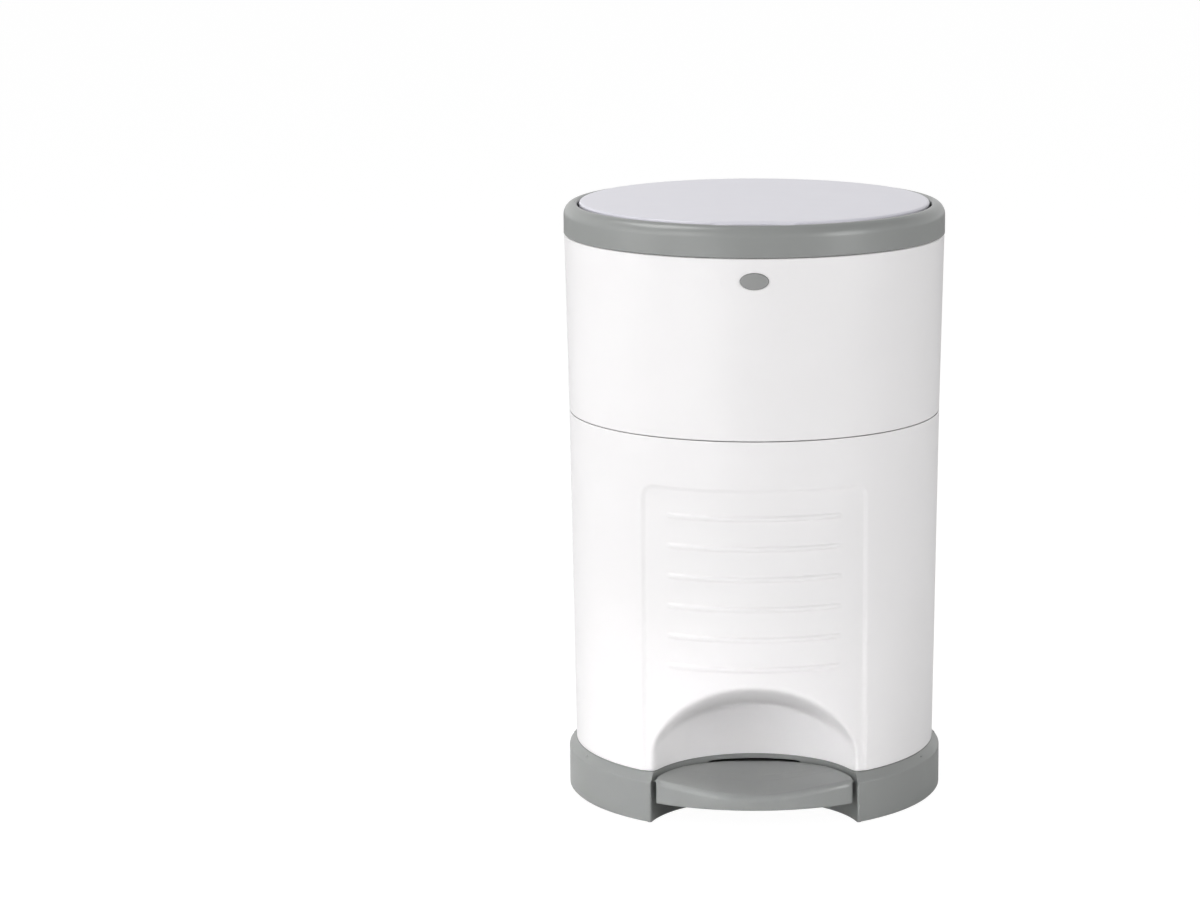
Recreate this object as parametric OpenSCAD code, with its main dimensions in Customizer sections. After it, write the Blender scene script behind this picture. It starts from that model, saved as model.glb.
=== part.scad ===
// Hands-free nappy bin: a round pail with a pedal, a lid and two trap doors that
// open together, a hinged top cover for the liner, and a side-hung front door.
// Millimetres. Origin on the floor under the pail's axis, +Z up, the front faces -Y.

/* [Body] */
// Height of the body's top rim above the floor
body_top_z = 417.5; // [414:0.5:424]
// Outer radius of the body at its top rim
body_top_r = 139.6; // [139.2:0.1:139.8]
// Outer radius of the body at the seam
seam_r = 137; // [136.6:0.1:137.4]
// Outer radius of the body where it meets the base
body_foot_r = 133.8; // [133.4:0.1:134.2]
// Height of the seam between the body and its front door
seam_z = 286.5; // [284:0.5:288]
// Thickness of the moulded walls
wall = 2.8; // [2.4:0.1:3]

/* [Base] */
// Outer radius of the base
base_r = 139.2; // [138.8:0.1:139.6]
// Height of the base
base_h = 37; // [36.5:0.1:37.5]
// Radius of the foot notch, which is struck from a point at the base's front edge
notch_r = 78; // [77:0.5:79]

/* [Pedal] */
// Angle that the pedal goes down
pedal_travel = 6; // [5:0.5:6]
// Height of the pedal's front edge at its sides
pedal_top_z = 33.3; // [32.5:0.1:33.6]
// Height of the underside of the pedal
pedal_low_z = 16.2; // [15.8:0.1:17]

/* [Cover] */
// Outer radius of the top ring
ring_r = 140; // [139.9:0.1:140.4]
// Height of the top ring
ring_h = 19; // [18.5:0.5:20]
// Radius of the lid
lid_r = 128.4; // [127.8:0.1:128.8]
// Angle that the lid opens
lid_travel = 76; // [70:1:76]
// Angle that each trap door opens
trap_travel = 75; // [60:1:75]
// Half the width of the hopper's square throat
throat = 65; // [62:0.5:65]

/* [Door] */
// Depth of the sunk panel on the door
panel_depth = 1.5; // [1:0.1:1.8]
// Half the width of the sunk panel
panel_half = 81.5; // [80:0.5:83]
// Height of the top edge of the sunk panel
panel_top_z = 251.8; // [249:0.2:254]
// Number of raised ribs on the sunk panel
rib_count = 6; // [4:1:6]
// Pitch of the raised ribs
rib_pitch = 22.2; // [21:0.1:22.4]
// Half the width of the arched toe recess
arch_half = 73.6; // [72:0.1:74]
// Rise of the arch above its springing
arch_rise = 53; // [51:0.5:54]

/* [Hidden] */
$fn = 96;

white = [0.94, 0.94, 0.94];
grey = [0.60, 0.63, 0.61];
steel = [0.72, 0.73, 0.75];
rubber = [0.2, 0.2, 0.21];

seam_gap = 1;
door_top_z = seam_z - seam_gap / 2;
shell_z = seam_z + seam_gap / 2;
run = 0.08;                              // radial play of a pin in a hole that turns on it

// Door hinge: a vertical pin outside the wall, behind the widest place on the left
hinge_phi = 160;
free_phi = 362;
parting = 0.35;                          // half the gap at the door's upright edges, in degrees
door_pin_r = 1.5;
knuckle_r = 4.2;
knuckle_h = 14;
ear_h = 7;
door_axis_r = 137;
door_hinge_z = [75, 245];

// Base and pedal
skirt_z = 1;
deck_z = base_h - 2.8;                   // underside of the deck
notch_y = -138;
notch_wall = 2.8;
axle_y = -20;
axle_z = 24;
axle_r = 3;
rod_y = 124;
rod_r = 3;
rod_low_z = 14;
lift = 15;                               // stroke of the push rod and the lift yoke
spring_y = 40;
spring_seat_z = 23.5;
foot_phi = [25, 65, 115, 155, 215, 325];
foot_circle = 118;
boss_phi = [33, 57, 123, 147];
boss_circle = 124.5;

// Cover: ring, hopper, lid and what hangs on them
ring_z = body_top_z + 0.5;
ring_top = ring_z + ring_h;
crest_z = ring_top + 4;                  // the ring rises to the lid's height all round but at its hinge
ring_wall = 3;
lid_hole_r = lid_r + 1.6;
cover_axis = [134, ring_z - 8];
lid_axis = [134, ring_top - 6];
lid_crank = lift / (2 * sin(lid_travel / 2));
trap_crank = lift / (2 * sin(trap_travel / 2));
throat_z = ring_z - 68;
bowl_z = ring_z - 18;
rim_z = ring_top - 5;
trap_axis = [throat - 4, throat_z + 6];
shaft_r = 2.5;
crank_y = [94, 100];
yoke_top = trap_axis[1] - lift / 2 - 3.5;
yoke_z = yoke_top - 5.5;
screw_circle = 133.8;
ring_screw_phi = [0, 45, 135, 180, 225, 315];
tray_z = shell_z + 2.5;
tray_screw_phi = [45, 135, 225, 315];
tube_r = 95;

// Latch
button_z = ring_z - 16.5;
button_half = [10, 5.85];
barb_z = button_z - 4;

// Toe recess: an arch that slopes down towards the inside, cut off by an upright back wall
arch_slope = 20.3;
arch_spring = 1.5;
scoop_wall = 2.5;

function on_arc(c, r, a0, a1, n = 6) =
    [for (i = [0:n]) let (a = a0 + (a1 - a0) * i / n) c + [r[0] * cos(a), r[1] * sin(a)]];
function lower_r(z) = body_foot_r + (seam_r - body_foot_r) * (z - base_h) / (seam_z - base_h);

module box(low, high) translate(low) cube(high - low);
module polar(phi, r, z = 0) rotate([0, 0, phi]) translate([r, 0, z]) children();
module sector(from, to) rotate([0, 0, from]) rotate_extrude(angle = to - from) children();
module rod_x(x0, x1, r, y, z) translate([x0, y, z]) rotate([0, 90, 0]) cylinder(r = r, h = x1 - x0);
module rod_y(y0, y1, r, x, z) translate([x, y0, z]) rotate([-90, 0, 0]) cylinder(r = r, h = y1 - y0);
module both_sides() for (side = [0, 1]) mirror([side, 0, 0]) children();
// Extrudes an outline drawn in Y and Z between two places along X
module across(x0, x1) translate([x0, 0, 0]) rotate([90, 0, 90]) linear_extrude(x1 - x0) children();
// Extrudes an outline drawn in X and Z between two places along Y
module along(y0, y1) translate([0, y1, 0]) rotate([90, 0, 0]) linear_extrude(y1 - y0) children();
module rounded_square(half, corner) union() {
    square([2 * half, 2 * (half - corner)], center = true);
    square([2 * (half - corner), 2 * half], center = true);
    for (sx = [-1, 1], sy = [-1, 1])
        translate([sx, sy] * (half - corner)) circle(r = corner);
}
module link(from, to, width) union() {
    d = to - from;
    translate(from) rotate(atan2(d[1], d[0])) translate([0, -width / 2]) square([norm(d), width]);
    translate(to) circle(r = width / 2);
}
// Coil spring of round wire, standing on z = 0
module coil(radius, wire, height, turns, sides = 8, steps = 20) {
    rings = turns * steps;
    points = [for (i = [0:rings]) let (a = 360 * i / steps,
              z = wire + (height - 2 * wire) * i / rings)
              for (s = [0:sides - 1]) let (b = 360 * s / sides, r = radius + wire * cos(b))
              [r * cos(a), r * sin(a), z + wire * sin(b)]];
    faces = concat(
        [[for (s = [0:sides - 1]) s]],
        [for (i = [0:rings - 1], s = [0:sides - 1]) let (n = (s + 1) % sides, k = i * sides)
            [k + s, k + sides + s, k + sides + n, k + n]],
        [[for (s = [sides - 1:-1:0]) rings * sides + s]]);
    polyhedron(points, faces, convexity = 8);
}

// ---- Base -----------------------------------------------------------------

// The shoulder under the body: a chamfer with its edges rounded
function base_shoulder() = [
    [base_r, base_h - 6.9], [base_r - 0.15, base_h - 6.2], [base_r - 0.6, base_h - 5.5],
    [base_r - 4.3, base_h - 0.8], [base_r - 4.8, base_h - 0.2], [base_r - 5.2, base_h]];

module base_section() polygon(concat(
    [[0, deck_z], [133, deck_z], [base_r - wall, 31], [base_r - wall, skirt_z],
     [base_r - 0.8, skirt_z], [base_r, skirt_z + 0.8]],
    base_shoulder(), [[0, base_h]]));

module notch_cylinder(r) translate([0, notch_y, skirt_z]) cylinder(r = r, h = base_h - skirt_z);

// What rounds the upright corner where the foot notch meets the outside of the base
module notch_corner(r) {
    y = (pow(notch_r + r, 2) - pow(base_r - r, 2) - notch_y * notch_y) / (-2 * notch_y);
    c = [sqrt(pow(base_r - r, 2) - y * y), y];
    away = c / norm(c) * 4;
    across = ([0, notch_y] - c) / norm([0, notch_y] - c) * 4;
    linear_extrude(base_h + 1) difference() {
        polygon([c, c + away, c + away + across, c + across]);
        translate(c) circle(r = r, $fn = 32);
    }
}

module base() color(grey) difference() {
    union() {
        difference() {
            rotate_extrude() base_section();
            translate([0, notch_y, 0]) cylinder(r = notch_r + 1, h = base_h + 1);
        }
        // Wall round the foot notch
        intersection() {
            difference() {
                notch_cylinder(notch_r + notch_wall);
                translate([0, notch_y, 0]) cylinder(r = notch_r, h = base_h + 1);
            }
            rotate_extrude() polygon(concat([[0, skirt_z], [base_r, skirt_z]],
                base_shoulder(), [[0, base_h]]));
        }
        // Pillars that hold the pedal's axle, posts of the feet and ribs under the deck
        both_sides() box([30, axle_y - 7, axle_z - 7], [36, axle_y + 7, deck_z + 0.5]);
        for (phi = foot_phi) polar(phi, foot_circle, 2.2) cylinder(r = 7, h = deck_z - 2);
        for (phi = [5, 45, 135, 175, 205, 335])
            rotate([0, 0, phi]) box([62, -1, 20], [base_r - wall + 0.5, 1, deck_z + 0.5]);
        polar(90, spring_y, deck_z - 2) cylinder(r = 4, h = 2.5);
    }
    box([-34, -85, 9], [34, -45, deck_z - 0.4]);
    rod_x(-40, 40, axle_r, axle_y, axle_z);
    translate([0, rod_y, deck_z - 1]) cylinder(r = rod_r + 2.2, h = 5);
    for (phi = boss_phi) polar(phi, boss_circle, deck_z - 1) cylinder(r = 2, h = 5);
    both_sides() notch_corner(1.25);
}

module rubber_feet() color(rubber) for (phi = foot_phi)
    polar(phi, foot_circle) rotate_extrude() polygon([[0, 0], [7.4, 0], [8, 0.6], [8, 2.2], [0, 2.2]]);

module base_screws() color(steel) for (phi = boss_phi)
    polar(phi, boss_circle, deck_z - 2) {
        cylinder(r = 3.4, h = 2);
        cylinder(r = 1.5, h = 17);
    }

module pedal_axle() color(steel) rod_x(-36.8, 36.8, axle_r, axle_y, axle_z);

module pedal_spring() color(steel)
    translate([0, spring_y, spring_seat_z]) coil(5.5, 0.7, deck_z - spring_seat_z, 4);

// ---- Pedal ----------------------------------------------------------------

module pedal_outline(inset = 0) intersection() {
    circle(r = 139 - inset, $fn = 180);
    translate([0, notch_y]) circle(r = notch_r - 3.5 - inset);
    square([2 * (70.8 - inset), 400], center = true);
}

// The top is dished: a wide cylinder that leans down towards the front is cut from it
module pedal() color(grey) {
    dish_r = 383;
    dish_low = 25.6;
    dish_lean = atan((pedal_top_z - dish_low) / 75);
    difference() {
        union() {
            translate([0, 0, pedal_low_z]) linear_extrude(pedal_top_z - pedal_low_z) pedal_outline();
            box([-31.5, -72, 18], [31.5, -40, 30]);
        }
        translate([0, -139, dish_low]) rotate([dish_lean, 0, 0]) rod_y(-40, 120, dish_r, 0, dish_r);
        // Hollow underside with its ribs left standing
        difference() {
            translate([0, 0, pedal_low_z - 1]) linear_extrude(22.4 - pedal_low_z + 1) pedal_outline(3);
            for (x = [-50, -25, 0, 25, 50]) box([x - 1, -140, pedal_low_z - 1], [x + 1, -60, 23]);
            box([-36, -75, pedal_low_z - 2], [36, -60, 23]);
        }
        both_sides() translate([20, -52, 17]) cylinder(r = 1.5, h = 10);
        box([-36, -75, pedal_low_z - 2], [36, -30, 18]);
    }
}

module pedal_lever() color(rubber) difference() {
    union() {
        box([-28, -66, 14.6], [28, -38, 18]);
        across(-8, 8) union() {
            polygon([[-66, 14.6], [-66, 18], [-36, 18], [axle_y - 3, axle_z + 6], [axle_y + 4, axle_z + 6],
                     [rod_y + 3, rod_low_z - 1], [rod_y + 3, rod_low_z - 6], [axle_y, axle_z - 8],
                     [-38, 14.6]]);
            translate([axle_y, axle_z]) circle(r = 7);
        }
        rod_x(-29, 29, 6, axle_y, axle_z);
        translate([0, spring_y, spring_seat_z - 5]) cylinder(r = 7, h = 5);
    }
    rod_x(-40, 40, axle_r + run, axle_y, axle_z);
    both_sides() translate([20, -52, 10]) cylinder(r = 1.7, h = 10);
}

module pedal_screws() color(steel) both_sides() translate([20, -52, 12.6]) {
    cylinder(r = 3.2, h = 2);
    cylinder(r = 1.5, h = 13);
}

// ---- Push rod at the back ---------------------------------------------------

module push_rod() color(steel)
    translate([0, rod_y, rod_low_z + 3]) cylinder(r = rod_r, h = yoke_z - 0.8 - rod_low_z - 6);

module rod_end() rotate_extrude() polygon([[0, 0], [3.6, 0], [4.5, 0.9], [4.5, 9], [rod_r, 9], [rod_r, 3], [0, 3]]);

module rod_shoe() color(rubber) translate([0, rod_y, rod_low_z]) rod_end();

module rod_cap() color(rubber) translate([0, rod_y, yoke_z - 0.8]) mirror([0, 0, 1]) rod_end();

module rod_channel() color(white) intersection() {
    difference() {
        box([-13, 112, base_h], [13, 136, shell_z]);
        box([-10.5, 114.5, base_h - 1], [10.5, 140, shell_z + 1]);
    }
    rotate_extrude() polygon([[0, base_h], [lower_r(base_h) - wall - 0.1, base_h],
                              [lower_r(shell_z) - wall - 0.1, shell_z], [0, shell_z]]);
}

// ---- Body -------------------------------------------------------------------

module lower_section() polygon([
    [lower_r(base_h) - wall, base_h], [lower_r(base_h), base_h],
    [lower_r(shell_z) - 0.01, shell_z - 0.6], [seam_r - 1.4, shell_z + 0.5], [seam_r - wall, shell_z + 0.5]]);

module upper_section() polygon([
    [118, shell_z], [seam_r - 0.4, shell_z], [seam_r, shell_z + 0.6], [body_top_r, body_top_z - 0.6],
    [body_top_r - 0.6, body_top_z], [body_top_r - wall, body_top_z],
    [seam_r - wall, tray_z], [118, tray_z]]);

// One set of knuckles of the door hinge; the door has the middle one
module knuckle(z0, z1, r = knuckle_r) polar(hinge_phi, door_axis_r, z0) cylinder(r = r, h = z1 - z0);
module hinge_web(z0, z1, side) rotate([0, 0, hinge_phi])
    box([door_axis_r - 5, min(0, side * 9), z0], [door_axis_r + 2, max(0, side * 9), z1]);

module cover_ear() intersection() {
    across(26.6, 36) union() {
        translate(cover_axis) circle(r = 4.5);
        polygon([cover_axis + [-4.5, 0], cover_axis + [4.5, 0], cover_axis + [2, -16], cover_axis + [0, -16]]);
    }
    cylinder(r = 150, h = body_top_z);
}

module button_outline(grow = 0) polygon([for (i = [0:47]) let (a = 7.5 * i)
    [(button_half[0] + grow) * cos(a), (button_half[1] + grow) * sin(a)]]);

module body_shell() color(white) difference() {
    union() {
        rotate_extrude() upper_section();
        sector(free_phi - 360 + parting, hinge_phi - parting) lower_section();
        for (z = door_hinge_z, k = [-1, 1]) {
            low = z + k * (knuckle_h / 2 + 0.5 + ear_h / 2) - ear_h / 2;
            knuckle(low, low + ear_h);
            hinge_web(low, low + ear_h, -1);
        }
        both_sides() cover_ear();
        for (phi = boss_phi) polar(phi, boss_circle, base_h) cylinder(r = 5, h = 22);
        for (phi = boss_phi) rotate([0, 0, phi]) box([boss_circle + 3, -1, base_h], [132, 1, base_h + 22]);
        both_sides() box([20.4, -137.4, barb_z + 1], [23.4, -130, barb_z + 11]);
    }
    // The door's own knuckles turn here
    for (z = door_hinge_z) knuckle(z - knuckle_h / 2 - 0.5, z + knuckle_h / 2 + 0.5, knuckle_r + 0.6);
    for (z = door_hinge_z) knuckle(z - 20, z + 20, door_pin_r);
    // Room for the cover's hinge leaf, and the bore of its pin
    box([-26.6, 126, cover_axis[1] - 6], [26.6, 145, body_top_z + 1]);
    rod_x(-40, 40, 2, cover_axis[0], cover_axis[1]);
    // Hole of the button, screw holes, way of the push rod
    translate([0, 0, button_z]) along(-145, -130) button_outline(0.3);
    for (phi = boss_phi) polar(phi, boss_circle, base_h - 1) cylinder(r = 1.5, h = 17);
    for (phi = tray_screw_phi) polar(phi, 122, shell_z - 1) cylinder(r = 1.5, h = 6);
    box([-7, 110, shell_z - 1], [7, 130, tray_z + 1]);
    // Finger notch in the upright edge beside the door
    rotate([0, 0, free_phi - 360]) box([125, -1, 195], [145, 7, 229]);
}

module door_hinge_pins() color(steel) for (z = door_hinge_z)
    knuckle(z - knuckle_h / 2 - ear_h - 0.5, z + knuckle_h / 2 + ear_h + 0.5, door_pin_r);

module cover_hinge_pin() color(steel) rod_x(-37, 37, 2, cover_axis[0], cover_axis[1]);

module door_strike() color(grey) intersection() {
    difference() {
        sector(4.2, 9.5) translate([124, 152]) square([12, 16]);
        sector(0, 8) translate([128.2, 150]) square([3.6, 20]);
        sector(5, 6.6) translate([126.6, 150]) square([2, 20]);
    }
    cylinder(r = lower_r(152) - wall - 0.1, h = 300);
}

// Dish that carries the folded liner, with the tube that the liner is drawn down through
module liner_tray() color(grey) difference() {
    rotate_extrude() polygon(concat(
        [[tube_r, tray_z - 34], [tube_r + 1.2, tray_z - 35], [tube_r + 2.5, tray_z - 34],
         [tube_r + 2.5, tray_z], [128.5, tray_z], [128.5, tray_z + 40], [126, tray_z + 40],
         [126, tray_z + 2.5], [tube_r + 2.5, tray_z + 2.5]],
        on_arc([tube_r + 1.25, tray_z + 27], [1.25, 1.25], 0, 180)));
    box([-9, 112, tray_z - 1], [9, 140, tray_z + 50]);
    for (phi = tray_screw_phi) polar(phi, 122, tray_z - 1) cylinder(r = 1.5, h = 6);
}

module tray_screws() color(steel) for (phi = tray_screw_phi) polar(phi, 122) {
    translate([0, 0, tray_z + 2.5]) cylinder(r = 3, h = 1.8);
    translate([0, 0, shell_z + 0.1]) cylinder(r = 1.5, h = 5.5);
}

// ---- Latch of the cover ------------------------------------------------------

module latch_housing() color(grey) union() {
    both_sides() box([20.4, -130, barb_z + 1], [23.4, -114, barb_z + 10]);
    box([-23.4, -116, barb_z + 1], [23.4, -114, barb_z + 10]);
    box([-20.4, -123.5, barb_z + 1], [20.4, -114, barb_z + 2.6]);
    box([-10.5, -128, barb_z + 1], [10.5, -114, barb_z + 2.6]);
}

module latch_spring() color(steel)
    translate([0, -124.5, barb_z + 7]) rotate([-90, 0, 0]) coil(2.6, 0.4, 8.5, 5, sides = 6, steps = 14);

module cover_catch() color(grey) union() {
    both_sides() across(11, 17) polygon([
        [-134, ring_z], [-134, barb_z - 3.5], [-132, barb_z - 3.5], [-129, barb_z - 1], [-129, barb_z],
        [-131.5, barb_z], [-131.5, ring_z - 2.5], [-131.5, ring_z]]);
    box([-17, -134, ring_z - 2.5], [17, -122, ring_z]);
}

module release_button() color(grey) translate([0, 0, button_z]) hull() {
    along(-139.8, -136.2) button_outline();
    along(-140.5, -139.7) button_outline(-0.9);
}

module latch_slide() color(rubber) union() {
    across(-19, 19) polygon([[-127.5, barb_z + 2.8], [-127.5, barb_z + 9.5], [-124.5, barb_z + 9.5],
                             [-124.5, barb_z + 2.8]]);
    both_sides() across(11.5, 16.5) polygon([
        [-127, barb_z + 3.5], [-130.8, barb_z + 3.5], [-130.8, barb_z + 1.6], [-129.5, barb_z + 0.5],
        [-127, barb_z + 0.5]]);
    box([-4, -136.2, barb_z + 3], [4, -127, barb_z + 8]);
}

// ---- Cover: ring and hopper ----------------------------------------------------

module ring_section() polygon(concat(
    [[ring_r - ring_wall, ring_z], [ring_r - 0.5, ring_z], [ring_r, ring_z + 0.5]],
    on_arc([ring_r - 7.5, crest_z - 9.5], [7.5, 9.5], 0, 90, 12),
    [[lid_hole_r + 1, crest_z], [lid_hole_r, crest_z - 1], [lid_hole_r, ring_top - 9],
     [lid_hole_r + 2.5, ring_top - 9], [lid_hole_r + 2.5, ring_top - 2.2],
     [ring_r - 6, ring_top - 2.2], [ring_r - ring_wall, ring_top - 6.5]]));

module top_ring() color(grey) difference() {
    union() {
        rotate_extrude() ring_section();
        for (phi = ring_screw_phi) polar(phi, screw_circle, ring_z + 3) cylinder(r = 2.9, h = 14.5);
        // Ears of the lid hinge, inside the hollow of the ring
        intersection() {
            both_sides() box([15, 130.5, ring_top - 12], [22, 142, ring_top - 1]);
            cylinder(r = ring_r - 1, h = ring_top);
        }
        // Leaf and barrel of the cover's own hinge
        across(-26, 26) union() {
            translate(cover_axis) circle(r = 4.5);
            polygon([cover_axis + [-3, 2], cover_axis + [4.5, 0], [138.4, ring_z + 3], [131, ring_z + 3]]);
        }
    }
    box([-15, 118, ring_top - 12], [15, 137.8, ring_top + 1]);
    box([-15, 130, ring_top - 6], [15, 145, ring_top + 1]);
    // The crest is lower at the back, where the lid swings over it
    along(100, 145) polygon([[-60, ring_top], [60, ring_top], [70, crest_z + 1], [-70, crest_z + 1]]);
    rod_x(-21.5, 21.5, 1.5, lid_axis[0], lid_axis[1]);
    rod_x(-40, 40, 2 + run, cover_axis[0], cover_axis[1]);
    for (phi = ring_screw_phi) polar(phi, screw_circle, ring_z) cylinder(r = 1.3, h = 12);
    // Finger notch at the front of the lid's opening
    intersection() {
        box([-28, -140, ring_top - 1], [28, -110, crest_z + 1]);
        cylinder(r = lid_hole_r + 2.4, h = crest_z + 2);
    }
}

module ring_screws() color(steel) for (phi = ring_screw_phi) polar(phi, screw_circle, ring_z) {
    translate([0, 0, -1.8]) cylinder(r = 2.2, h = 1.8);
    cylinder(r = 1.3, h = 11.5);
}

module bowl_inside() rotate_extrude() polygon([
    [0, bowl_z + 2.5], [97, bowl_z + 2.5], [122, rim_z - 4], [123.5, rim_z], [123.5, rim_z + 9], [0, rim_z + 9]]);

module hopper() color(white) difference() {
    union() {
        rotate_extrude() polygon([[60, bowl_z], [99.3, bowl_z], [125.4, bowl_z + 26.6], [126, rim_z], [60, rim_z]]);
        rotate_extrude() translate([112, ring_z]) square([24.6, 3]);
        // The locating rim leaves room for the hinge ears at the back and the catch in front
        difference() {
            rotate_extrude() translate([129, ring_z - 7.5]) square([2.4, 8]);
            box([-46, 100, ring_z - 9], [46, 140, ring_z + 2]);
            box([-24.5, -140, ring_z - 9], [24.5, -100, ring_z + 2]);
        }
        translate([0, 0, throat_z]) linear_extrude(bowl_z - throat_z + 1) rounded_square(throat + 2.5, 5.5);
        for (y = [-throat - 8, throat - 6]) both_sides() rod_y(y, y + 14, 5.5, trap_axis[0], trap_axis[1]);
        // Ribs that guide the stem of the lift yoke
        both_sides() box([6.4, 117, yoke_top + lift + 3], [9, 126.5, ring_z + 1]);
    }
    bowl_inside();
    translate([0, 0, throat_z - 1]) linear_extrude(bowl_z - throat_z + 5) rounded_square(throat, 3);
    both_sides() rod_y(-90, 90, shaft_r + run, trap_axis[0], trap_axis[1]);
    for (phi = ring_screw_phi) polar(phi, screw_circle, ring_z - 1) cylinder(r = 1.3, h = 6);
    box([-6.4, 117.5, bowl_z - 60], [6.4, 135, rim_z + 1]);
    box([-26.6, 129.5, ring_z - 10], [26.6, 140, ring_z + 5]);
}

module rim_seal() color(rubber) difference() {
    rotate_extrude() polygon(concat([[123.6, rim_z], [126, rim_z]],
        on_arc([124.8, rim_z + 3], [1.2, 1.2], 0, 180)));
    box([-15, 115, rim_z - 1], [15, 130, rim_z + 9]);
}

module lid_hinge_pin() color(steel) rod_x(-21.5, 21.5, 1.5, lid_axis[0], lid_axis[1]);

module trap_springs() color(steel) both_sides()
    translate([trap_axis[0], 75.5, trap_axis[1]]) rotate([-90, 0, 0]) coil(3.6, 0.5, 16, 6, sides = 6, steps = 14);

// ---- What the pedal moves inside the cover ---------------------------------------

// The rod lifts the yoke; its stem lifts the lid's crank and its two lugs the trap doors' cranks
module lift_yoke() color(rubber) union() {
    box([-5, 118.5, yoke_z], [5, 123.6, lid_axis[1] - lift / 2 - 3.1]);
    box([-6, 116, yoke_z], [6, 129.5, yoke_top]);
    box([-5, 103, yoke_z], [5, 120, yoke_top]);
    box([-76, 102.5, yoke_z], [76, 107, yoke_top]);
    both_sides() box([70.3, crank_y[0], yoke_z], [76, 104, yoke_top]);
}

module lid() color(white) difference() {
    union() {
        rotate_extrude() polygon(concat(
            [[0, ring_top + 1.3], [119, ring_top + 1.3], [120, ring_top - 0.3], [lid_r - 0.8, ring_top - 0.3]],
            on_arc([lid_r - 3.4, ring_top + 1.2], [3.4, 2.9], 0, 90),
            [[110, ring_top + 4.5], [70, ring_top + 4.8], [0, ring_top + 5]]));
        // Hinge barrel behind the lid, and the crank that the yoke lifts
        across(-14, 14) union() {
            translate(lid_axis) circle(r = 3.5);
            polygon([[118, ring_top], [118, ring_top + 3.4], [127.4, ring_top + 2.4],
                     lid_axis + [0, 3.5], lid_axis + [-3.3, -1], [126.4, ring_top - 0.3]]);
        }
        across(-5, 5) translate(lid_axis)
            link([0, 0], lid_crank * [-cos(lid_travel / 2), -sin(lid_travel / 2)], 5);
    }
    rod_x(-20, 20, 1.5 + run, lid_axis[0], lid_axis[1]);
    // Finger lip, cut straight across the front edge
    box([-28.5, -140, ring_top - 2], [28.5, 2.6 - lid_r, crest_z + 3]);
}

module lid_inner() color(white) difference() {
    rotate_extrude() polygon([[0, rim_z - 1.5], [108, rim_z - 1.5], [117, rim_z + 1], [118, rim_z + 2],
        [118, ring_top + 1.3], [115.5, ring_top + 1.3], [115.5, rim_z + 2.6], [107.5, rim_z + 1], [0, rim_z + 1]]);
    box([-15, 112, rim_z - 3], [15, 120, ring_top + 2]);
}

// Left and right are the user's, facing the front: the left one is at -X
module trap_door() difference() {
    union() {
        translate([0, 0, trap_axis[1] - 1.25]) linear_extrude(2.5) intersection() {
            rounded_square(throat - 1.5, 3);
            translate([-trap_axis[0], -throat]) square([trap_axis[0] - 0.8, 2 * throat]);
        }
        rod_y(-55, 55, 3.6, -trap_axis[0], trap_axis[1]);
        rod_y(-throat - 7.5, crank_y[1] + 1.5, shaft_r, -trap_axis[0], trap_axis[1]);
        for (y = [-40, 0, 40]) along(y - 1, y + 1) polygon([
            [-trap_axis[0], trap_axis[1]], [-trap_axis[0], trap_axis[1] - 3.5],
            [-12, trap_axis[1] - 2.6], [-4, trap_axis[1] - 1], [-4, trap_axis[1]]]);
    }
}

module trap_crank_piece() along(crank_y[0], crank_y[1]) difference() {
    translate([-trap_axis[0], trap_axis[1]]) union() {
        circle(r = 5.3);
        link([0, 0], trap_crank * [-cos(trap_travel / 2), -sin(trap_travel / 2)], 4);
        translate(trap_crank * [-cos(trap_travel / 2), -sin(trap_travel / 2)]) circle(r = 3);
    }
    translate([-trap_axis[0], trap_axis[1]]) circle(r = shaft_r);
}

module trap_door_left() color(grey) trap_door();
module trap_door_right() color(grey) mirror([1, 0, 0]) trap_door();
module trap_crank_left() color(rubber) trap_crank_piece();
module trap_crank_right() color(rubber) mirror([1, 0, 0]) trap_crank_piece();

// ---- Front door -------------------------------------------------------------------

module door_section() polygon([
    [lower_r(base_h) - wall, base_h + 0.4], [lower_r(base_h), base_h + 0.4],
    [lower_r(door_top_z) - 0.1, door_top_z - 0.6], [lower_r(door_top_z) - 0.7, door_top_z],
    [126, door_top_z], [126, door_top_z - 2.5], [lower_r(door_top_z) - wall, door_top_z - 2.5]]);

// Solid of the sunk panel's outline, from in_by inside the door's face outwards
module panel_cut(in_by) intersection() {
    rotate_extrude() polygon([
        [lower_r(base_h) - in_by, base_h - 1], [lower_r(panel_top_z) - in_by, panel_top_z - 2 * in_by],
        [lower_r(panel_top_z), panel_top_z], [150, panel_top_z], [150, base_h - 1]]);
    linear_extrude(300) polygon([[-panel_half + 2.4, -104.6], [-panel_half, -108.2], [-panel_half - 6, -150],
        [panel_half + 6, -150], [panel_half, -108.2], [panel_half - 2.4, -104.6]]);
    along(-160, -80) union() {
        translate([0, panel_top_z - panel_half]) rounded_square(panel_half, 10);
        translate([-panel_half, 0]) square([2 * panel_half, panel_top_z - panel_half]);
    }
}

// Arched prism that slopes down towards the inside of the bin
module arch(grow = 0) rotate([-arch_slope, 0, 0]) along(-170, 20) union() {
    half = arch_half + grow;
    rise = (arch_rise + grow) * cos(arch_slope);
    spring = arch_spring * cos(arch_slope);
    polygon(concat([[-half, -80], [half, -80]],
        [for (i = [0:24]) let (a = 7.5 * i) [half * cos(a), spring + rise * sin(a)]]));
}

module scoop(grow = 0) intersection() {
    arch(grow);
    translate([0, notch_y, base_h - 5]) cylinder(r = notch_r + grow, h = 110);
}

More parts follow.
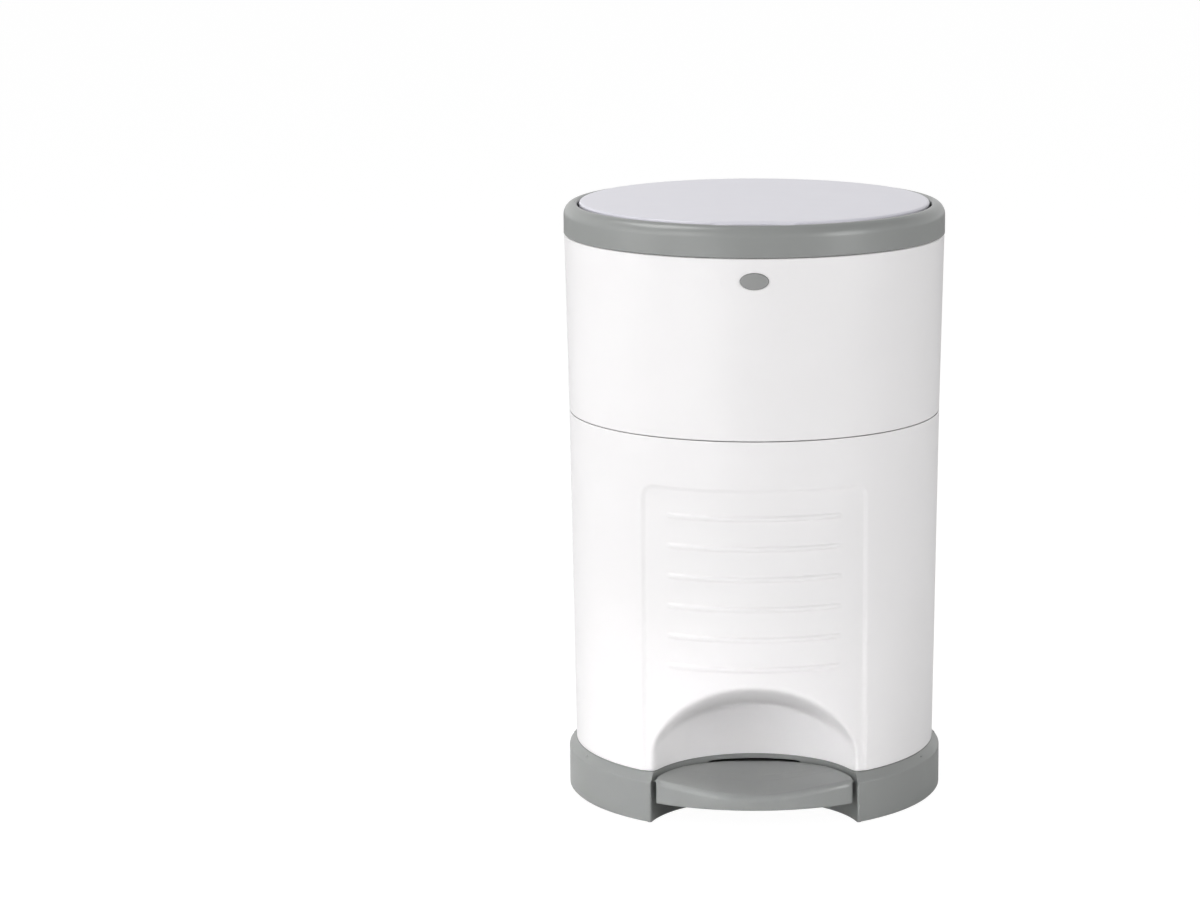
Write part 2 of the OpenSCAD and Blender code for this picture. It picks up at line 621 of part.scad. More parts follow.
module rib(z) {
    floor_r = lower_r(z) - panel_depth;
    sector(270 - 27, 270 + 27) polygon([[floor_r - 1, z - 1.6], [floor_r, z - 1.6], [floor_r + 1, z - 1],
                                        [floor_r + 1, z + 0.6], [floor_r, z + 1.6], [floor_r - 1, z + 1.6]]);
}

module front_door() color(white) difference() {
    union() {
        difference() {
            union() {
                sector(hinge_phi + parting, free_phi - parting) door_section();
                // The wall steps inwards behind the sunk panel
                sector(230, 310) polygon([
                    [lower_r(base_h) - wall - panel_depth, base_h + 1],
                    [lower_r(base_h) - wall + 1, base_h + 1],
                    [lower_r(panel_top_z) - wall + 1, panel_top_z + 3.5],
                    [lower_r(panel_top_z) - wall - panel_depth, panel_top_z + 1]]);
            }
            panel_cut(panel_depth);
        }
        for (i = [0:rib_count - 1]) rib(119.4 + i * rib_pitch);
        intersection() {
            scoop(scoop_wall);
            rotate_extrude() polygon([[0, base_h + 0.7], [lower_r(base_h) - 1.8, base_h + 0.7],
                                      [lower_r(panel_top_z) - 1.8, panel_top_z], [0, panel_top_z]]);
        }
        for (z = door_hinge_z) {
            knuckle(z - knuckle_h / 2, z + knuckle_h / 2);
            hinge_web(z - knuckle_h / 2, z + knuckle_h / 2, 1);
        }
    }
    scoop();
    // The body's ears of the door hinge stay clear
    for (z = door_hinge_z, k = [-1, 1]) {
        low = z + k * (knuckle_h / 2 + 0.5 + ear_h / 2) - ear_h / 2;
        knuckle(low - 0.5, low + ear_h + 0.5, knuckle_r + 0.6);
    }
    for (z = door_hinge_z) knuckle(z - 20, z + 20, door_pin_r + run);
}

module door_catch() color(grey) intersection() {
    union() {
        sector(350, 360 + 7) translate([129, 154]) square([2.2, 12]);
        sector(360 + 5.3, 360 + 6.3) translate([127.4, 154]) square([2, 12]);
        sector(350, 355) translate([129, 150]) square([6, 20]);
    }
    cylinder(r = lower_r(150) - wall - 0.05, h = 300);
}

// Holder of the blade that cuts the full liner, on the inside of the door
module liner_cutter() color(grey) difference() {
    intersection() {
        along(-135, -121) translate([0, 268]) union() {
            square([44, 18], center = true);
            translate([-22, 0]) circle(r = 9);
            translate([22, 0]) circle(r = 9);
        }
        cylinder(r = lower_r(259) - wall - 0.05, h = 300);
    }
    along(-130, -120) polygon([[-18, 266.5], [24, 266.5], [30, 262], [30, 275], [24, 269.5], [-18, 269.5]]);
}

module cutter_blade() color(steel) along(-129.9, -123) polygon([[-14, 266.5], [-4, 266.5], [-9, 269.5], [-14, 269.5]]);

base();
rubber_feet();
body_shell();
rod_channel();
liner_tray();
base_screws();
tray_screws();
pedal_axle();
pedal_spring();
door_hinge_pins();
cover_hinge_pin();
door_strike();
latch_housing();
latch_spring();
pedal();
pedal_lever();
pedal_screws();
push_rod();
rod_shoe();
rod_cap();
top_ring();
hopper();
rim_seal();
ring_screws();
lid_hinge_pin();
trap_springs();
cover_catch();
lift_yoke();
lid();
lid_inner();
trap_door_left();
trap_crank_left();
trap_door_right();
trap_crank_right();
release_button();
latch_slide();
front_door();
liner_cutter();
cutter_blade();
door_catch();
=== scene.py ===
import math

import bpy
import numpy as np
from mathutils import Matrix, Vector


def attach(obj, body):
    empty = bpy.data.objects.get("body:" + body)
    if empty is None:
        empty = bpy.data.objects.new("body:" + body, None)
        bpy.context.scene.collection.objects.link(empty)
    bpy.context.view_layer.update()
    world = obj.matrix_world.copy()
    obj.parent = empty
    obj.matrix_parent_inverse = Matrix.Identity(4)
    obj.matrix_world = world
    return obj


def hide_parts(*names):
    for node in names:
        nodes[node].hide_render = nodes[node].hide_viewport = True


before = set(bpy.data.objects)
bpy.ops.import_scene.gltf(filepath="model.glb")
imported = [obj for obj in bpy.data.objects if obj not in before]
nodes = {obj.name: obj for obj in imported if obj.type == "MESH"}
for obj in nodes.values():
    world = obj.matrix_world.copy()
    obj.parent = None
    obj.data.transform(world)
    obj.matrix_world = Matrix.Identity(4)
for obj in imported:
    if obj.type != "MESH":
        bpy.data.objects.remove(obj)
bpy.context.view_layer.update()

# ---- Room ---------------------------------------------------------------------------
# A white studio floor, a long lens from a little above the bin, and a white sky that is
# greyer overhead where glossy parts mirror it. Broad lamps stand on both sides and
# overhead, a low one in front and a narrow one for the pedal and the toe recess.
bpy.context.scene.view_settings.view_transform = "Standard"

eye_distance, eye_height, aim_height = 2.7657, 0.7959, 0.218
lens_pixels, photo_width, sensor_width = 3788.2, 1200, 36
bpy.ops.object.camera_add(location=(0, -eye_distance, eye_height))
camera = bpy.context.object
camera.name = "photo_camera"
camera.data.sensor_width = sensor_width
camera.data.lens = lens_pixels / photo_width * sensor_width
camera.data.shift_x = -0.1286
camera.data.shift_y = 0.0397
camera.data.clip_start = 0.1
tilt_down = math.atan2(eye_height - aim_height, eye_distance)
camera.rotation_euler = (math.pi / 2 - tilt_down, 0, 0)
bpy.context.scene.camera = camera


def softbox(name, place, aim, width, height, power):
    """A rectangular area lamp at one place, turned towards another."""
    bpy.ops.object.light_add(type="AREA", location=place)
    lamp = bpy.context.object
    lamp.name = name
    lamp.data.shape = "RECTANGLE"
    lamp.data.size = width
    lamp.data.size_y = height
    lamp.data.energy = power
    away = np.array(place, float) - np.array(aim, float)
    lamp.rotation_euler = (math.acos(away[2] / np.linalg.norm(away)), 0,
                           math.atan2(away[1], away[0]) + math.pi / 2)
    return lamp


bin_middle = (0, 0, 0.22)
softbox("key_softbox", (-1.7, -1.9, 1.3), bin_middle, 1.3, 1.5, 19.5)
softbox("left_softbox", (-2.4, -0.8, 0.6), bin_middle, 1.2, 1.1, 10)
softbox("low_front_softbox", (-0.85, -1.35, 0.12), (0.02, -0.06, 0.10), 0.9, 0.2, 2.0)
softbox("right_softbox", (2.0, -1.4, 0.9), bin_middle, 1.0, 1.2, 22)
softbox("top_softbox", (-1.1, 0.1, 2.2), bin_middle, 1.1, 1.1, 23)
foot_light = softbox("foot_softbox", (-0.60, -1.15, 0.17), (0.02, -0.08, 0.040),
                     0.30, 0.08, 0.032)
foot_light.data.spread = math.radians(14)


def added(tree, kind, values=None, operation=None):
    """A new node in a tree, with its operation and the values of its free inputs."""
    made = tree.nodes.new(kind)
    if operation:
        made.operation = operation
    for socket, value in (values or {}).items():
        made.inputs[socket].default_value = value
    return made


white = (1, 1, 1, 1)
world = bpy.data.worlds.new("white_room")
bpy.context.scene.world = world
world.use_nodes = True
tree = world.node_tree
tree.nodes.clear()
path = added(tree, "ShaderNodeLightPath")
seen = added(tree, "ShaderNodeMath", operation="MAXIMUM")
seen_or_mirrored = added(tree, "ShaderNodeMath", operation="MAXIMUM")
plain = added(tree, "ShaderNodeBackground", {"Color": white, "Strength": 0.23})
bright = added(tree, "ShaderNodeBackground", {"Color": white})
towards = added(tree, "ShaderNodeTexCoord")
height = added(tree, "ShaderNodeSeparateXYZ")
ceiling = added(tree, "ShaderNodeMapRange",
                {"From Min": 0.35, "From Max": 0.75, "To Min": 1.0, "To Max": 0.35})
ceiling.interpolation_type = "SMOOTHSTEP"
sky = added(tree, "ShaderNodeMixShader")
out = added(tree, "ShaderNodeOutputWorld")
wire = tree.links.new
wire(path.outputs["Is Camera Ray"], seen.inputs[0])
wire(path.outputs["Is Transmission Ray"], seen.inputs[1])
wire(seen.outputs[0], seen_or_mirrored.inputs[0])
wire(path.outputs["Is Glossy Ray"], seen_or_mirrored.inputs[1])
wire(towards.outputs["Generated"], height.inputs[0])
wire(height.outputs["Z"], ceiling.inputs["Value"])
wire(ceiling.outputs["Result"], bright.inputs["Strength"])
wire(seen_or_mirrored.outputs[0], sky.inputs["Fac"])
wire(plain.outputs[0], sky.inputs[1])
wire(bright.outputs[0], sky.inputs[2])
wire(sky.outputs[0], out.inputs["Surface"])

bpy.ops.mesh.primitive_plane_add(size=14, location=(0, 1.5, 0))
floor = bpy.context.object
floor.name = "studio_floor"
white_floor = bpy.data.materials.new("white_floor")
white_floor.use_nodes = True
tree = white_floor.node_tree
tree.nodes.clear()
path = added(tree, "ShaderNodeLightPath")
glow_share = added(tree, "ShaderNodeMath", {1: 0.88}, "MULTIPLY")
paint = added(tree, "ShaderNodeBsdfDiffuse", {"Color": (0.92, 0.92, 0.92, 1)})
glow = added(tree, "ShaderNodeEmission", {"Color": white, "Strength": 1.1})
both = added(tree, "ShaderNodeMixShader")
out = added(tree, "ShaderNodeOutputMaterial")
wire = tree.links.new
wire(path.outputs["Is Camera Ray"], glow_share.inputs[0])
wire(glow_share.outputs[0], both.inputs["Fac"])
wire(paint.outputs[0], both.inputs[1])
wire(glow.outputs[0], both.inputs[2])
wire(both.outputs[0], out.inputs["Surface"])
floor.data.materials.append(white_floor)

# ---- Mouldings ----------------------------------------------------------------------
# The walls, the lid, the base and the inside parts are injection moulded. The tool's
# fine grain, slight clouding of the colour and a faint unevenness of the gloss are one
# shared group, and each plastic places it with its own values.
surface = bpy.data.node_groups.new("moulded_surface", "ShaderNodeTree")
for name, kind, value in (("Colour", "NodeSocketColor", (0.8, 0.8, 0.8, 1)),
                          ("Clouding", "NodeSocketFloat", 0.03),
                          ("Roughness", "NodeSocketFloat", 0.35),
                          ("Unevenness", "NodeSocketFloat", 0.06),
                          ("Grain per metre", "NodeSocketFloat", 900.0),
                          ("Grain depth", "NodeSocketFloat", 0.1)):
    socket = surface.interface.new_socket(name=name, in_out="INPUT", socket_type=kind)
    socket.default_value = value
for name, kind in (("Colour", "NodeSocketColor"), ("Roughness", "NodeSocketFloat"),
                   ("Normal", "NodeSocketVector")):
    surface.interface.new_socket(name=name, in_out="OUTPUT", socket_type=kind)
given = added(surface, "NodeGroupInput")
result = added(surface, "NodeGroupOutput")
place = added(surface, "ShaderNodeTexCoord")
clouds = added(surface, "ShaderNodeTexNoise", {"Scale": 14, "Detail": 3})
shade = added(surface, "ShaderNodeMapRange", {"From Min": 0.3, "From Max": 0.7})
darker = added(surface, "ShaderNodeMath", {0: 1.0}, "SUBTRACT")
tinted = added(surface, "ShaderNodeVectorMath", operation="SCALE")
swirl = added(surface, "ShaderNodeTexNoise", {"Scale": 55, "Detail": 4})
centred = added(surface, "ShaderNodeMath", {1: 0.5}, "SUBTRACT")
uneven = added(surface, "ShaderNodeMath", operation="MULTIPLY_ADD")
grain = added(surface, "ShaderNodeTexNoise", {"Detail": 2})
bump = added(surface, "ShaderNodeBump", {"Distance": 0.0002})
wire = surface.links.new
for noise in (clouds, swirl, grain):
    wire(place.outputs["Object"], noise.inputs["Vector"])
wire(clouds.outputs["Fac"], shade.inputs["Value"])
wire(given.outputs["Clouding"], shade.inputs["To Max"])
wire(shade.outputs["Result"], darker.inputs[1])
wire(given.outputs["Colour"], tinted.inputs[0])
wire(darker.outputs[0], tinted.inputs["Scale"])
wire(tinted.outputs["Vector"], result.inputs["Colour"])
wire(swirl.outputs["Fac"], centred.inputs[0])
wire(centred.outputs[0], uneven.inputs[0])
wire(given.outputs["Unevenness"], uneven.inputs[1])
wire(given.outputs["Roughness"], uneven.inputs[2])
wire(uneven.outputs[0], result.inputs["Roughness"])
wire(given.outputs["Grain per metre"], grain.inputs["Scale"])
wire(grain.outputs["Fac"], bump.inputs["Height"])
wire(given.outputs["Grain depth"], bump.inputs["Strength"])
wire(bump.outputs["Normal"], result.inputs["Normal"])


def plastic(name, colour, roughness, clouding=0.02, unevenness=0.08, grain=900, depth=0.08):
    """A moulded plastic: the shared group with this plastic's own values."""
    made = bpy.data.materials.new(name)
    made.use_nodes = True
    shader = made.node_tree.nodes["Principled BSDF"]
    shader.inputs["IOR"].default_value = 1.48
    skin = made.node_tree.nodes.new("ShaderNodeGroup")
    skin.node_tree = surface
    for socket, value in (("Colour", (*colour, 1)), ("Clouding", clouding),
                          ("Roughness", roughness), ("Unevenness", unevenness),
                          ("Grain per metre", grain), ("Grain depth", depth)):
        skin.inputs[socket].default_value = value
    for source, target in (("Colour", "Base Color"), ("Roughness", "Roughness"),
                           ("Normal", "Normal")):
        made.node_tree.links.new(skin.outputs[source], shader.inputs[target])
    return made


def metal(name, colour, roughness, grain):
    """Plated steel: the same group lends it clouding, an uneven gloss and a fine grain."""
    made = plastic(name, colour, roughness, clouding=0.10, unevenness=0.25, grain=grain,
                   depth=0.25)
    made.node_tree.nodes["Principled BSDF"].inputs["Metallic"].default_value = 1.0
    return made


white_abs = plastic("white_abs", (0.884, 0.872, 0.877), 0.34)
grey_abs = plastic("grey_abs", (0.277, 0.286, 0.280), 0.32, clouding=0.05, depth=0.12)
button_abs = plastic("button_abs", (0.300, 0.303, 0.300), 0.36, clouding=0.04, depth=0.1)
# The lid's white is darker than the walls' white to stand in for the lesser light on its
# upward-facing top: painted shade
lid_abs_painted_shade = plastic("lid_abs_painted_shade", (0.735, 0.724, 0.79), 0.32, clouding=0.008, depth=0.02)
black_nylon = plastic("black_nylon", (0.02, 0.02, 0.022), 0.5, depth=0.3)
soft_rubber = plastic("soft_rubber", (0.03, 0.03, 0.032), 0.75, depth=0.3)
zinc_steel = metal("zinc_steel", (0.62, 0.63, 0.65), 0.32, 2400)
spring_steel = metal("spring_steel", (0.50, 0.51, 0.53), 0.26, 3200)
for material, names in (
        (white_abs, ("body_shell", "rod_channel", "front_door", "hopper", "lid_inner")),
        (grey_abs, ("base", "pedal", "top_ring", "release_button", "liner_tray",
                    "door_strike", "latch_housing", "cover_catch", "trap_door_left",
                    "trap_door_right", "liner_cutter", "door_catch")),
        (lid_abs_painted_shade, ("lid",)),
        (black_nylon, ("pedal_lever", "rod_shoe", "rod_cap", "lift_yoke",
                       "trap_crank_left", "trap_crank_right", "latch_slide")),
        (soft_rubber, ("rubber_feet", "rim_seal")),
        (zinc_steel, ("base_screws", "tray_screws", "pedal_axle", "door_hinge_pins",
                      "cover_hinge_pin", "pedal_screws", "push_rod", "ring_screws",
                      "lid_hinge_pin")),
        (spring_steel, ("pedal_spring", "latch_spring", "trap_springs", "cutter_blade"))):
    for name in names:
        nodes[name].data.materials.clear()
        nodes[name].data.materials.append(material)

# ---- Top ring ---------------------------------------------------------------------------
# The grey ring that frames the lid. It is rounded over outside and falls a little to the
# lid's opening; at the back it is cut down and carries the lid's and the cover's hinges.
pin_y, lid_pin_z, cover_pin_z = 0.134, 0.431, 0.410


def picked(made):
    """Makes a piece the only selected one, for the operators that follow."""
    bpy.ops.object.select_all(action="DESELECT")
    bpy.context.view_layer.objects.active = made
    made.select_set(True)
    return made


def outline(name, points, closed=True):
    """A chain of points as a new mesh, ready to be spun or extruded."""
    mesh = bpy.data.meshes.new(name)
    count = len(points)
    links = count if closed else count - 1
    mesh.from_pydata(points, [(i, (i + 1) % count) for i in range(links)], [])
    made = bpy.data.objects.new(name, mesh)
    bpy.context.collection.objects.link(made)
    return picked(made)


def turned(name, profile, start=0.0, turn=360.0, steps=128, closed=True):
    """Radius and height pairs turned about the bin's axis; a part turn gets ends."""
    at = math.radians(start)
    points = [(r * math.cos(at), r * math.sin(at), z) for r, z in profile]
    made = outline(name, points, closed)
    bpy.ops.object.mode_set(mode="EDIT")
    bpy.ops.mesh.select_all(action="SELECT")
    bpy.ops.mesh.spin(steps=steps, angle=-math.radians(turn), center=(0, 0, 0),
                      axis=(0, 0, 1))
    bpy.ops.mesh.select_all(action="SELECT")
    bpy.ops.mesh.remove_doubles(threshold=1e-6)
    if turn < 360:
        bpy.ops.mesh.fill_holes(sides=0)
    bpy.ops.mesh.normals_make_consistent(inside=False)
    bpy.ops.object.mode_set(mode="OBJECT")
    return made


def rounded(radius, centre, start, stop, count=6):
    """Points of a quarter round, or of any part of an ellipse, in a profile."""
    angles = [math.radians(start + (stop - start) * i / count) for i in range(count + 1)]
    return [(centre[0] + radius[0] * math.cos(a), centre[1] + radius[1] * math.sin(a))
            for a in angles]


def tube(name, radius, bore, low, high, centre, steps=40):
    """A round boss with a bore through it, upright at the given place."""
    made = turned(name, [(bore, low), (radius, low), (radius, high), (bore, high)],
                  steps=steps)
    made.data.transform(Matrix.Translation((centre[0], centre[1], 0)))
    return made


def block(name, low, high, soft=0.0):
    """A box between two corners, its edges rounded if it has a soft width."""
    bpy.ops.mesh.primitive_cube_add(size=1)
    made = bpy.context.object
    made.name = name
    size = [b - a for a, b in zip(low, high)]
    made.data.transform(Matrix.Translation([(a + b) / 2 for a, b in zip(low, high)])
                        @ Matrix.Diagonal((*size, 1)))
    if soft:
        edge = made.modifiers.new("edge", "BEVEL")
        edge.width = soft
        edge.segments = 2
        bpy.ops.object.modifier_apply(modifier="edge")
    return made


def prism(name, points, low, high, axis="X"):
    """An outline of two coordinates, extruded between two places along X or Y."""
    made = outline(name, [(low, a, b) if axis == "X" else (a, low, b) for a, b in points])
    bpy.ops.object.mode_set(mode="EDIT")
    bpy.ops.mesh.select_all(action="SELECT")
    bpy.ops.mesh.edge_face_add()
    way = (high - low, 0, 0) if axis == "X" else (0, high - low, 0)
    bpy.ops.mesh.extrude_region_move(TRANSFORM_OT_translate={"value": way})
    bpy.ops.mesh.select_all(action="SELECT")
    bpy.ops.mesh.normals_make_consistent(inside=False)
    bpy.ops.object.mode_set(mode="OBJECT")
    return made


def pin(radius, length, height, vertices):
    """A round bar along X through the hinge line at the back, at the given height."""
    bpy.ops.mesh.primitive_cylinder_add(vertices=vertices, radius=radius, depth=length)
    made = bpy.context.object
    made.data.transform(Matrix.Translation((0, pin_y, height))
                        @ Matrix.Rotation(math.pi / 2, 4, "Y"))
    return made


def cut(piece, cutter):
    """Takes the cutter's shape out of a piece and removes the cutter."""
    picked(piece)
    change = piece.modifiers.new("cut", "BOOLEAN")
    change.operation = "DIFFERENCE"
    change.solver = "EXACT"
    change.object = cutter
    bpy.ops.object.modifier_apply(modifier="cut")
    bpy.data.objects.remove(cutter)


def joined(pieces, name):
    """The pieces of one moulding as one object with the given name."""
    bpy.ops.object.select_all(action="DESELECT")
    for piece in pieces:
        piece.select_set(True)
    bpy.context.view_layer.objects.active = pieces[0]
    bpy.ops.object.join()
    pieces[0].name = name
    return pieces[0]


def settle(piece, node, body, material, angle=40):
    """Shades a piece, gives it its material and puts it in its node's place."""
    picked(piece)
    bpy.ops.object.shade_smooth_by_angle(angle=math.radians(angle))
    piece.data.materials.clear()
    piece.data.materials.append(material)
    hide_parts(node)
    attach(piece, body)


outer_wall = [(0.1370, 0.4180), (0.1395, 0.4180), (0.1400, 0.4185)]
shoulder = rounded((0.0075, 0.0087), (0.1325, 0.4315), 0, 90, 16)
crest = [(0.1318, 0.44005), (0.1310, 0.4397), (0.1303, 0.4391), (0.1300, 0.4384)]
inner_wall = [(0.1300, 0.4280), (0.1325, 0.4280), (0.1325, 0.4348), (0.1340, 0.4348),
              (0.1370, 0.4305)]
ring = turned("ring_moulding", outer_wall + shoulder + crest + inner_wall, steps=300)
cut(ring, block("slot", (-0.0150, 0.1180, 0.4250), (0.0150, 0.1378, 0.4500)))
cut(ring, block("slot", (-0.0151, 0.1300, 0.4310), (0.0151, 0.1450, 0.4500)))
cut(ring, prism("crest_cut", [(-0.060, 0.4370), (0.060, 0.4370), (0.070, 0.4430),
                              (-0.070, 0.4430)], 0.100, 0.145, "Y"))
notch_floor, notch_depth, notch_radius = 0.4360, 0.0040, 0.1326
for vertex in ring.data.vertices:
    # The finger notch: the inner edge of the crest is drawn down in front of the lid's lip
    x, y, z = vertex.co
    radius = math.hypot(x, y)
    if y < 0 and abs(x) < 0.031 and z > notch_floor and radius < notch_radius:
        share = float(np.clip((0.029 - abs(x)) / 0.002, 0, 1))
        fall = notch_depth * min(1, (notch_radius - radius) / 0.0010)
        vertex.co.z = z + share * (max(notch_floor, z - fall) - z)
pieces = [ring]
boss_circle = 0.1338
for turn in (0, 45, 135, 180, 225, 315):
    at = math.radians(turn)
    pieces.append(tube("boss", 0.0029, 0.0013, 0.4211, 0.4352,
                       (boss_circle * math.cos(at), boss_circle * math.sin(at)), 24))
for low, high in ((-0.0220, -0.0151), (0.0151, 0.0220)):
    pieces.append(block("ear", (low, 0.1306, 0.4251), (high, 0.1368, 0.4350), 0.0004))
leaf_eye = rounded((0.0045, 0.0045), (pin_y, cover_pin_z), -15, -180, 11)
leaf = prism("leaf", [(0.1310, 0.4120), (0.1310, 0.4211), (0.1372, 0.4211),
                      (0.1384, 0.4190), (0.1385, 0.4100)] + leaf_eye, -0.026, 0.026)
cut(leaf, pin(0.0021, 0.06, cover_pin_z, 32))
pieces.append(leaf)
ring = joined(pieces, "ring_moulding")
settle(ring, "top_ring", "cover", grey_abs, 40)

# ---- Lid ------------------------------------------------------------------------------
# A slightly domed white disc with a rounded edge. In front a finger lip is cut straight
# across it and bevelled; at the back are its hinge barrel and the crank that lifts it.
underside = [(0, 0.4383), (0.1190, 0.4383), (0.1200, 0.4367), (0.1276, 0.4367),
             (0.1281, 0.4369), (0.1284, 0.4373)]
rim = rounded((0.0022, 0.0018), (0.1262, 0.43975), 0, 90, 10)
dome = [(0.1250, 0.44160), (0.1220, 0.44165), (0.1180, 0.44170), (0.1100, 0.44178),
        (0.0900, 0.44187), (0.0700, 0.44193), (0.0450, 0.44197), (0.0200, 0.4420),
        (0, 0.4420)]
disc = turned("lid_moulding", underside + rim + dome, steps=300, closed=False)
lip_y, bevel_y, bevel_width, bevel_depth = -0.1258, -0.1215, 0.0042, 0.0016
for vertex in disc.data.vertices:
    # The lip: a straight cut 2.6 mm deep, bevelled towards the user
    x, y, z = vertex.co
    if y < -0.118 and abs(x) < 0.034 and z > 0.4360:
        share = float(np.clip((0.0285 - abs(x)) / 0.0020, 0, 1))
        share = share * share * (3 - 2 * share)
        vertex.co.y += share * (max(y, lip_y) - y)
        if z > 0.4384:
            fall = float(np.clip((bevel_y - y) / bevel_width, 0, 1))
            vertex.co.z -= share * bevel_depth * fall ** 1.4
barrel = pin(0.0035, 0.028, lid_pin_z, 48)
hinge_leaf = prism("hinge_leaf", [(0.1180, 0.4370), (0.1180, 0.4402), (0.1274, 0.4396),
                                  (0.1330, 0.4354), (0.1368, 0.4330), (0.1307, 0.4300),
                                  (0.1264, 0.4367)], -0.0139, 0.0139)
# The crank's tip goes 15 mm up while the lid swings 76 degrees
stroke, swing, crank_radius = 0.015, 76, 0.0025
reach = stroke / (2 * math.sin(math.radians(swing / 2)))
down = math.radians(180 + swing / 2)
tip = (pin_y + reach * math.cos(down), lid_pin_z + reach * math.sin(down))
side = (crank_radius * math.sin(down), -crank_radius * math.cos(down))
nose = [(tip[0] + crank_radius * math.cos(down + math.radians(a)),
         tip[1] + crank_radius * math.sin(down + math.radians(a)))
        for a in range(-90, 91, 15)]
crank = prism("crank", [(pin_y + side[0], lid_pin_z + side[1])] + nose
              + [(pin_y - side[0], lid_pin_z - side[1])], -0.0049, 0.0049)
lid = joined([disc, barrel, hinge_leaf, crank], "lid_moulding")
settle(lid, "lid", "lid_set", lid_abs_painted_shade, 40)

# ---- Button ---------------------------------------------------------------------------
# The oval button that frees the top cover: a plain pad with a rounded edge. It is a
# flattened cylinder whose axis points at the user.
bpy.ops.mesh.primitive_cylinder_add(vertices=96, radius=1, depth=1)
button = bpy.context.object
button.name = "button_moulding"
button.data.transform(Matrix.Translation((0, -0.13835, 0.4015))
                      @ Matrix.Rotation(math.pi / 2, 4, "X")
                      @ Matrix.Diagonal((0.0100, 0.00585, 0.0043, 1)))
edge = button.modifiers.new("edge", "BEVEL")
edge.width = 0.0009
edge.segments = 5
edge.limit_method = "ANGLE"
bpy.ops.object.modifier_apply(modifier="edge")
settle(button, "release_button", "button", button_abs, 50)

# ---- Front door ---------------------------------------------------------------------
# One white moulding that wraps round the front, hung on the left. A sunk panel with six
# soft ribs and an arched toe recess are formed in its wall; the corners are all rounded.
hinge_azimuth, free_azimuth = math.radians(-109.65), math.radians(91.65)
door_foot, door_top = 0.0374, 0.2865
rib_heights = [0.1194 + 0.0222 * i for i in range(6)]


def wall_radius(z):
    """The outer radius of the bin's wall, which widens from the base to the door's top."""
    base_top, foot_radius, top_radius = 0.037, 0.1338, 0.1370
    return foot_radius + (top_radius - foot_radius) * (z - base_top) / (door_top - base_top)


def ease(t):
    """From 0 to 1 with a soft start and a soft stop."""
    t = np.clip(t, 0, 1)
    return t * t * (3 - 2 * t)


def steps(*runs):
    """Places from one end to the other, each run at its own spacing."""
    found = [runs[0][0]]
    for start, stop, pitch in runs:
        count = max(1, round((stop - start) / pitch))
        found += [start + (stop - start) * (i + 1) / count for i in range(count)]
    return found


def mirrored(places):
    """Places from the middle outwards, completed on the other side."""
    return [-x for x in reversed(places[1:])] + places


def sheet(name, columns, rows):
    """A grid as a new mesh, and the column and the row that each vertex is in."""
    bpy.ops.object.select_all(action="DESELECT")
    bpy.ops.mesh.primitive_grid_add(x_subdivisions=columns - 1, y_subdivisions=rows - 1,
                                    size=2)
    made = bpy.context.object
    made.name = name
    flat = np.empty(len(made.data.vertices) * 3)
    made.data.vertices.foreach_get("co", flat)
    flat = flat.reshape(-1, 3)
    column = np.rint((flat[:, 0] + 1) / 2 * (columns - 1)).astype(int)
    row = np.rint((flat[:, 1] + 1) / 2 * (rows - 1)).astype(int)
    return made, column, row


def walled(made, points, probe, outward, thickness):
    """Shapes a sheet, turns its faces outwards and gives it a wall on the inside."""
    made.data.vertices.foreach_set("co", points.ravel())
    made.data.update()
    picked(made)
    bpy.ops.object.mode_set(mode="EDIT")
    bpy.ops.mesh.select_all(action="SELECT")
    bpy.ops.mesh.normals_make_consistent(inside=False)
    bpy.ops.object.mode_set(mode="OBJECT")
    if made.data.polygons[probe].normal.dot(Vector(outward)) < 0:
        made.data.flip_normals()
    wall = made.modifiers.new("wall", "SOLIDIFY")
    wall.thickness = thickness
    wall.offset = -1
    bpy.ops.object.modifier_apply(modifier="wall")


# The grid is fine where the panel's edge, the ribs and the toe recess are
across = mirrored(steps((0, 0.046, 0.0014), (0.046, 0.0745, 0.0008),
                        (0.0745, 0.0775, 0.001), (0.0775, 0.0830, 0.0005),
                        (0.0830, 0.0860, 0.0015)))
left_of = [i / 32 for i in range(32, 0, -1)]
right_of = [(i + 1) / 24 for i in range(24)]
rows = steps((door_foot, 0.112, 0.0011))
for height in rib_heights:
    rows += [height + d / 1000 for d in (-2.6, -2.1, -1.6, -1.1, -0.5, 0, 0.5, 1.1, 1.6, 2.1,
                                         2.6, 5.5, 8.5, 12, 15.5, 18)]
rows += [0.2425] + steps((0.2465, 0.2535, 0.0005)) + steps((0.2580, 0.2845, 0.0066))
rows += [0.2853, 0.2857, 0.2860, 0.2862, 0.2864, door_top]
rows = sorted(set(round(z, 6) for z in rows))
rows = [z for i, z in enumerate(rows) if i == 0 or z - rows[i - 1] > 0.00015]
columns = len(left_of) + len(across) + len(right_of)
door, column, row = sheet("door_moulding", columns, len(rows))
z = np.array(rows)[row]
radius = wall_radius(z)
edge = np.arcsin(across[-1] / radius)
station = np.concatenate([np.zeros(len(left_of)), across, np.zeros(len(right_of))])[column]
share = np.concatenate([left_of, np.zeros(len(across)), right_of])[column]
azimuth = np.where(column < len(left_of), -edge + share * (hinge_azimuth + edge),
                   np.where(column < len(left_of) + len(across), np.arcsin(station / radius),
                            edge + share * (free_azimuth - edge)))
